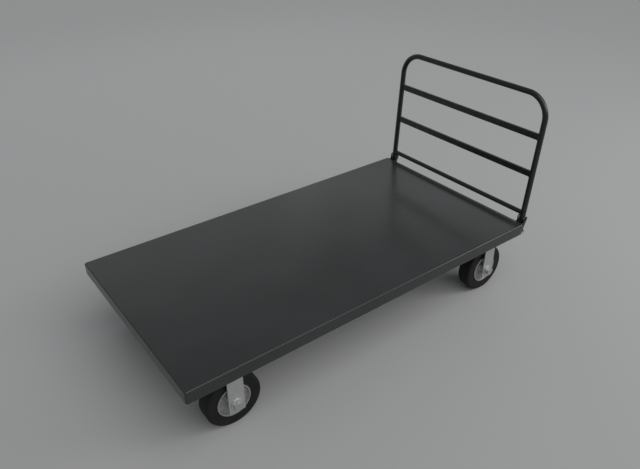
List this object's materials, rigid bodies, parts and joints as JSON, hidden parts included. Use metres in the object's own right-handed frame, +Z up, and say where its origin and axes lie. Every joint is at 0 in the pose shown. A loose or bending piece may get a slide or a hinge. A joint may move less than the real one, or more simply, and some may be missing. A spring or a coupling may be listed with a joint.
{
  "type": "folding platform cart",
  "caption": "Flat steel platform cart with an upright tube handle that folds down onto the deck, rigid casters at the front and swivel casters under the handle end.",
  "frame": {"origin": "on the floor, under the middle of the whole cart", "axes": "+X towards the handle end, +Y to the right of a person at the handle who looks over the deck, +Z up"},
  "size_m": [1.5805, 0.813, 0.8198],
  "materials": {
    "deck_paint": "satin charcoal powder coat",
    "handle_paint": "satin black powder coat",
    "zinc_plate": "dull zinc plated steel",
    "fastener_zinc": "bright zinc plated steel",
    "bearing_steel": "ground bearing steel",
    "hub_casting": "as-cast alloy, satin",
    "tyre_rubber": "solid black rubber, matt",
    "stop_rubber": "matt black rubber",
    "nylon": "black nylon"
  },
  "bodies": {
    "deck": {"deck_pan": "deck_paint", "front_caster_rail": "deck_paint", "rear_caster_rail": "deck_paint", "deck_stiffeners": "deck_paint", "hinge_clevis_left": "handle_paint", "hinge_clevis_right": "handle_paint", "corner_plate_left": "zinc_plate", "corner_plate_right": "zinc_plate", "pivot_rivets": "fastener_zinc", "pivot_washers": "nylon", "plate_bolts": "fastener_zinc", "plate_nuts": "fastener_zinc", "rest_stops": "stop_rubber", "detent_plungers": "fastener_zinc", "rigid_plate_left": "zinc_plate", "rigid_plate_right": "zinc_plate", "rigid_fork_left": "zinc_plate", "rigid_fork_right": "zinc_plate", "swivel_plate_left": "zinc_plate", "swivel_plate_right": "zinc_plate", "upper_races": "zinc_plate", "kingpins": "fastener_zinc", "kingpin_nuts": "fastener_zinc", "swivel_balls": "bearing_steel", "caster_bolts": "fastener_zinc", "caster_nuts": "fastener_zinc", "front_axle_bolts": "fastener_zinc", "front_axle_nuts": "fastener_zinc", "front_axle_washers": "fastener_zinc", "front_axle_sleeves": "bearing_steel"},
    "handle": {"handle_hoop": "handle_paint", "upper_crossbar": "handle_paint", "middle_crossbar": "handle_paint", "lower_crossbar": "handle_paint", "pivot_sleeves": "bearing_steel", "foot_plugs": "nylon"},
    "swivel_left": {"swivel_fork_left": "zinc_plate", "lower_race_left": "zinc_plate", "rear_axle_bolt_left": "fastener_zinc", "rear_axle_nut_left": "fastener_zinc", "rear_axle_washers_left": "fastener_zinc", "rear_axle_sleeve_left": "bearing_steel"},
    "swivel_right": {"swivel_fork_right": "zinc_plate", "lower_race_right": "zinc_plate", "rear_axle_bolt_right": "fastener_zinc", "rear_axle_nut_right": "fastener_zinc", "rear_axle_washers_right": "fastener_zinc", "rear_axle_sleeve_right": "bearing_steel"},
    "front_wheel_left": {"front_tyre_left": "tyre_rubber", "front_hub_left": "hub_casting", "front_bearing_left": "bearing_steel"},
    "front_wheel_right": {"front_tyre_right": "tyre_rubber", "front_hub_right": "hub_casting", "front_bearing_right": "bearing_steel"},
    "rear_wheel_left": {"rear_tyre_left": "tyre_rubber", "rear_hub_left": "hub_casting", "rear_bearing_left": "bearing_steel"},
    "rear_wheel_right": {"rear_tyre_right": "tyre_rubber", "rear_hub_right": "hub_casting", "rear_bearing_right": "bearing_steel"}
  },
  "joints": [
    {"name": "handle_fold", "type": "hinge", "parent": "deck", "child": "handle", "pos_m": [0.75374, 0, 0.3068], "axis": [0, -1, 0], "range_deg": [0, 92.9]},
    {"name": "caster_swivel_left", "type": "hinge", "parent": "deck", "child": "swivel_left", "pos_m": [0.55374, -0.3208, 0.217], "axis": [0, 0, 1], "continuous": true},
    {"name": "caster_swivel_right", "type": "hinge", "parent": "deck", "child": "swivel_right", "pos_m": [0.55374, 0.3208, 0.217], "axis": [0, 0, 1], "continuous": true},
    {"name": "front_wheel_spin_left", "type": "hinge", "parent": "deck", "child": "front_wheel_left", "pos_m": [-0.61026, -0.3208, 0.1], "axis": [0, 1, 0], "continuous": true},
    {"name": "front_wheel_spin_right", "type": "hinge", "parent": "deck", "child": "front_wheel_right", "pos_m": [-0.61026, 0.3208, 0.1], "axis": [0, 1, 0], "continuous": true},
    {"name": "rear_wheel_spin_left", "type": "hinge", "parent": "swivel_left", "child": "rear_wheel_left", "pos_m": [0.59874, -0.3208, 0.1], "axis": [0, 1, 0], "continuous": true},
    {"name": "rear_wheel_spin_right", "type": "hinge", "parent": "swivel_right", "child": "rear_wheel_right", "pos_m": [0.59874, 0.3208, 0.1], "axis": [0, 1, 0], "continuous": true}
  ]
}
